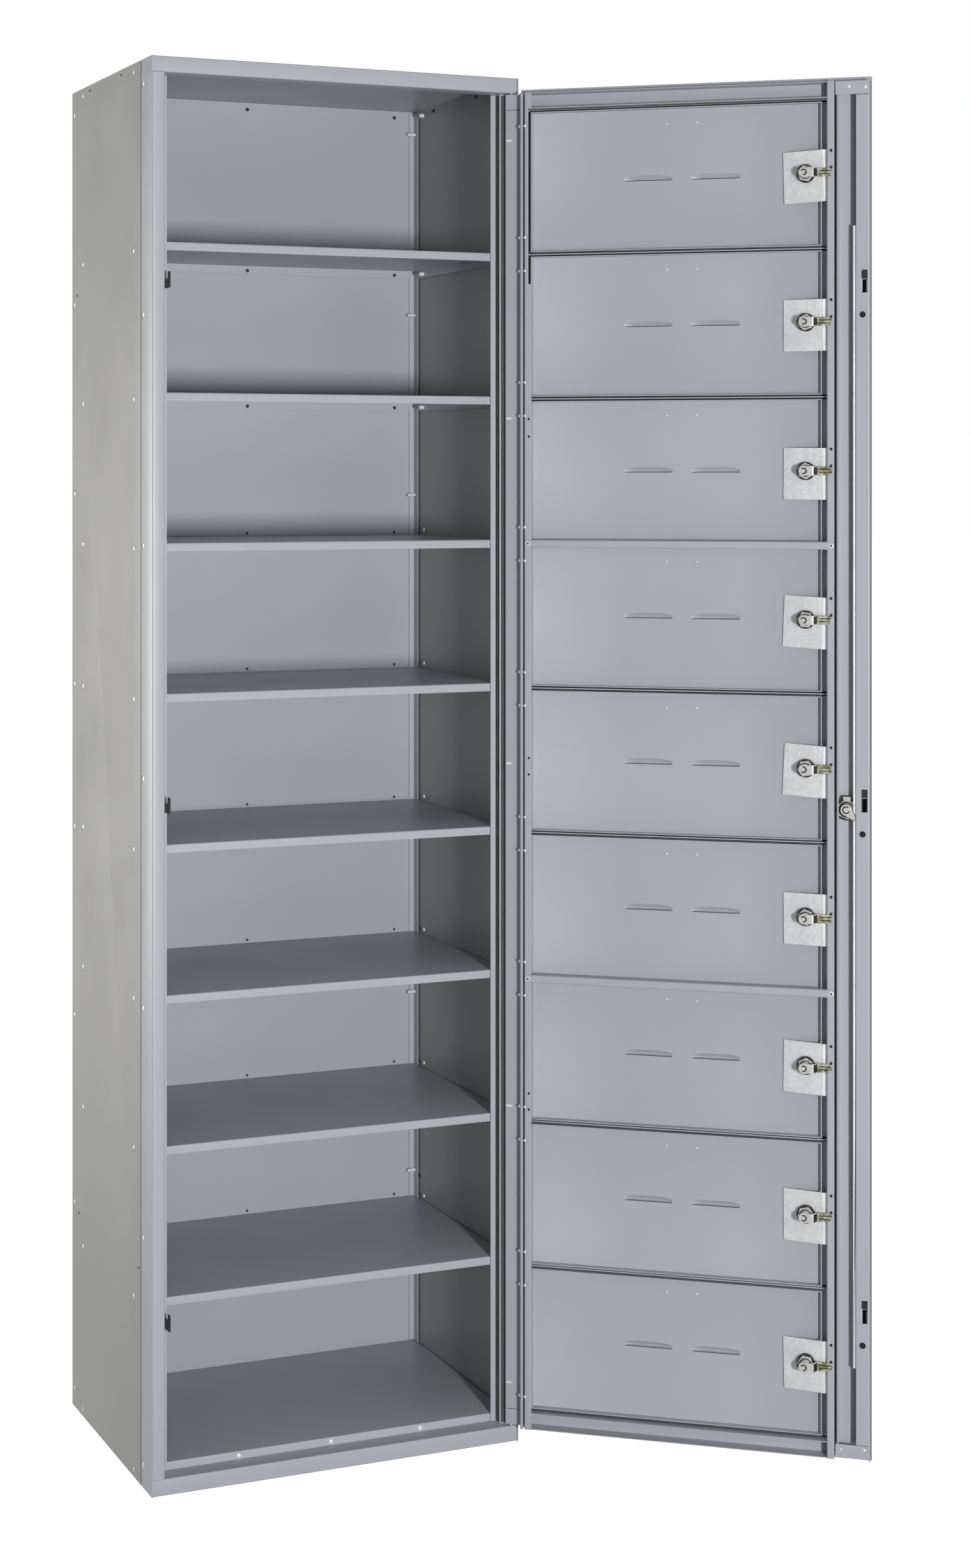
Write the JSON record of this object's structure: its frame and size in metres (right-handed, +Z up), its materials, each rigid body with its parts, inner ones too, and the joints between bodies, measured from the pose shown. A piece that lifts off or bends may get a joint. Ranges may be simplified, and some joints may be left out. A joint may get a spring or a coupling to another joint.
{
  "type": "parcel locker",
  "caption": "Tall free-standing steel parcel locker: shelved cabinet behind one open master door that carries a column of small latched doors.",
  "frame": {"origin": "middle of the cabinet's footprint, at the height of the floor it stands on", "axes": "+Z up, -Y out of the cabinet's open front, +X towards the side the master door is hinged on"},
  "size_m": [1.0265, 0.8136, 2.134],
  "materials": {
    "painted_steel": "semi-gloss",
    "side_paint": "semi-gloss",
    "galvanised_steel": "spangled zinc",
    "zinc_plate": "bright",
    "chromate_steel": "yellow chromate",
    "dark_steel": "blackened"
  },
  "bodies": {
    "cabinet": {"left_side_panel": "side_paint", "right_side_panel": "side_paint", "back_panel": "painted_steel", "top_panel": "painted_steel", "bottom_panel": "painted_steel", "floor_shelf": "painted_steel", "shelf_1": "painted_steel", "shelf_2": "painted_steel", "shelf_3": "painted_steel", "shelf_4": "painted_steel", "shelf_5": "painted_steel", "shelf_6": "painted_steel", "shelf_7": "painted_steel", "shelf_8": "painted_steel", "header": "painted_steel", "sill": "painted_steel", "left_jamb": "painted_steel", "right_jamb": "painted_steel", "catch_1": "dark_steel", "catch_2": "dark_steel", "catch_3": "dark_steel", "top_pivot_pin": "zinc_plate", "bottom_pivot_pin": "zinc_plate"},
    "master_door": {"hinge_stile": "painted_steel", "lock_stile": "painted_steel", "door_top_rail": "painted_steel", "door_bottom_rail": "painted_steel", "upper_mid_rail": "painted_steel", "lower_mid_rail": "painted_steel", "small_door_hinge_rod": "zinc_plate", "master_lock": "zinc_plate"},
    "lock_bar": {"lock_bar": "galvanised_steel"},
    "master_cam": {"master_cam": "chromate_steel"},
    "small_door_1": {"small_door_1": "painted_steel", "small_lock_1": "galvanised_steel"},
    "small_cam_1": {"small_cam_1": "chromate_steel"},
    "small_door_2": {"small_door_2": "painted_steel", "small_lock_2": "galvanised_steel"},
    "small_cam_2": {"small_cam_2": "chromate_steel"},
    "small_door_3": {"small_door_3": "painted_steel", "small_lock_3": "galvanised_steel"},
    "small_cam_3": {"small_cam_3": "chromate_steel"},
    "small_door_4": {"small_door_4": "painted_steel", "small_lock_4": "galvanised_steel"},
    "small_cam_4": {"small_cam_4": "chromate_steel"},
    "small_door_5": {"small_door_5": "painted_steel", "small_lock_5": "galvanised_steel"},
    "small_cam_5": {"small_cam_5": "chromate_steel"},
    "small_door_6": {"small_door_6": "painted_steel", "small_lock_6": "galvanised_steel"},
    "small_cam_6": {"small_cam_6": "chromate_steel"},
    "small_door_7": {"small_door_7": "painted_steel", "small_lock_7": "galvanised_steel"},
    "small_cam_7": {"small_cam_7": "chromate_steel"},
    "small_door_8": {"small_door_8": "painted_steel", "small_lock_8": "galvanised_steel"},
    "small_cam_8": {"small_cam_8": "chromate_steel"},
    "small_door_9": {"small_door_9": "painted_steel", "small_lock_9": "galvanised_steel"},
    "small_cam_9": {"small_cam_9": "chromate_steel"}
  },
  "joints": [
    {"name": "master_door_hinge", "type": "hinge", "parent": "cabinet", "child": "master_door", "pos_m": [0.2875, -0.21835, 1.067], "axis": [0, 0, 1], "range_deg": [-141, 24]},
    {"name": "lock_bar_slide", "type": "slide", "parent": "master_door", "child": "lock_bar", "axis": [0, 0, 1], "range_m": [0, 0.014]},
    {"name": "master_cam_turn", "type": "hinge", "parent": "master_door", "child": "master_cam", "pos_m": [0.68602, -0.56442, 1.0074], "axis": [-0.6293, -0.7771, 0], "range_deg": [0, 42]},
    {"name": "small_door_1_hinge", "type": "hinge", "parent": "master_door", "child": "small_door_1", "pos_m": [0.31625, -0.23179, 1.96975], "axis": [0, 0, 1], "range_deg": [0, 95]},
    {"name": "small_cam_1_turn", "type": "hinge", "parent": "small_door_1", "child": "small_cam_1", "pos_m": [0.62808, -0.53745, 1.97], "axis": [-0.6293, -0.7771, 0], "range_deg": [0, 90]},
    {"name": "small_door_2_hinge", "type": "hinge", "parent": "master_door", "child": "small_door_2", "pos_m": [0.31625, -0.23179, 1.74425], "axis": [0, 0, 1], "range_deg": [0, 95]},
    {"name": "small_cam_2_turn", "type": "hinge", "parent": "small_door_2", "child": "small_cam_2", "pos_m": [0.62808, -0.53745, 1.7445], "axis": [-0.6293, -0.7771, 0], "range_deg": [0, 90]},
    {"name": "small_door_3_hinge", "type": "hinge", "parent": "master_door", "child": "small_door_3", "pos_m": [0.31625, -0.23179, 1.51875], "axis": [0, 0, 1], "range_deg": [0, 95]},
    {"name": "small_cam_3_turn", "type": "hinge", "parent": "small_door_3", "child": "small_cam_3", "pos_m": [0.62808, -0.53745, 1.519], "axis": [-0.6293, -0.7771, 0], "range_deg": [0, 90]},
    {"name": "small_door_4_hinge", "type": "hinge", "parent": "master_door", "child": "small_door_4", "pos_m": [0.31625, -0.23179, 1.29325], "axis": [0, 0, 1], "range_deg": [0, 95]},
    {"name": "small_cam_4_turn", "type": "hinge", "parent": "small_door_4", "child": "small_cam_4", "pos_m": [0.62808, -0.53745, 1.2935], "axis": [-0.6293, -0.7771, 0], "range_deg": [0, 90]},
    {"name": "small_door_5_hinge", "type": "hinge", "parent": "master_door", "child": "small_door_5", "pos_m": [0.31625, -0.23179, 1.06775], "axis": [0, 0, 1], "range_deg": [0, 95]},
    {"name": "small_cam_5_turn", "type": "hinge", "parent": "small_door_5", "child": "small_cam_5", "pos_m": [0.62808, -0.53745, 1.068], "axis": [-0.6293, -0.7771, 0], "range_deg": [0, 90]},
    {"name": "small_door_6_hinge", "type": "hinge", "parent": "master_door", "child": "small_door_6", "pos_m": [0.31625, -0.23179, 0.84225], "axis": [0, 0, 1], "range_deg": [0, 95]},
    {"name": "small_cam_6_turn", "type": "hinge", "parent": "small_door_6", "child": "small_cam_6", "pos_m": [0.62808, -0.53745, 0.8425], "axis": [-0.6293, -0.7771, 0], "range_deg": [0, 90]},
    {"name": "small_door_7_hinge", "type": "hinge", "parent": "master_door", "child": "small_door_7", "pos_m": [0.31625, -0.23179, 0.61675], "axis": [0, 0, 1], "range_deg": [0, 95]},
    {"name": "small_cam_7_turn", "type": "hinge", "parent": "small_door_7", "child": "small_cam_7", "pos_m": [0.62808, -0.53745, 0.617], "axis": [-0.6293, -0.7771, 0], "range_deg": [0, 90]},
    {"name": "small_door_8_hinge", "type": "hinge", "parent": "master_door", "child": "small_door_8", "pos_m": [0.31625, -0.23179, 0.39125], "axis": [0, 0, 1], "range_deg": [0, 95]},
    {"name": "small_cam_8_turn", "type": "hinge", "parent": "small_door_8", "child": "small_cam_8", "pos_m": [0.62808, -0.53745, 0.3915], "axis": [-0.6293, -0.7771, 0], "range_deg": [0, 90]},
    {"name": "small_door_9_hinge", "type": "hinge", "parent": "master_door", "child": "small_door_9", "pos_m": [0.31625, -0.23179, 0.16575], "axis": [0, 0, 1], "range_deg": [0, 95]},
    {"name": "small_cam_9_turn", "type": "hinge", "parent": "small_door_9", "child": "small_cam_9", "pos_m": [0.62808, -0.53745, 0.166], "axis": [-0.6293, -0.7771, 0], "range_deg": [0, 90]}
  ],
  "couplings": [
    {"joint": "master_cam_turn", "follows": "lock_bar_slide", "rad_per_m": 52.3}
  ]
}
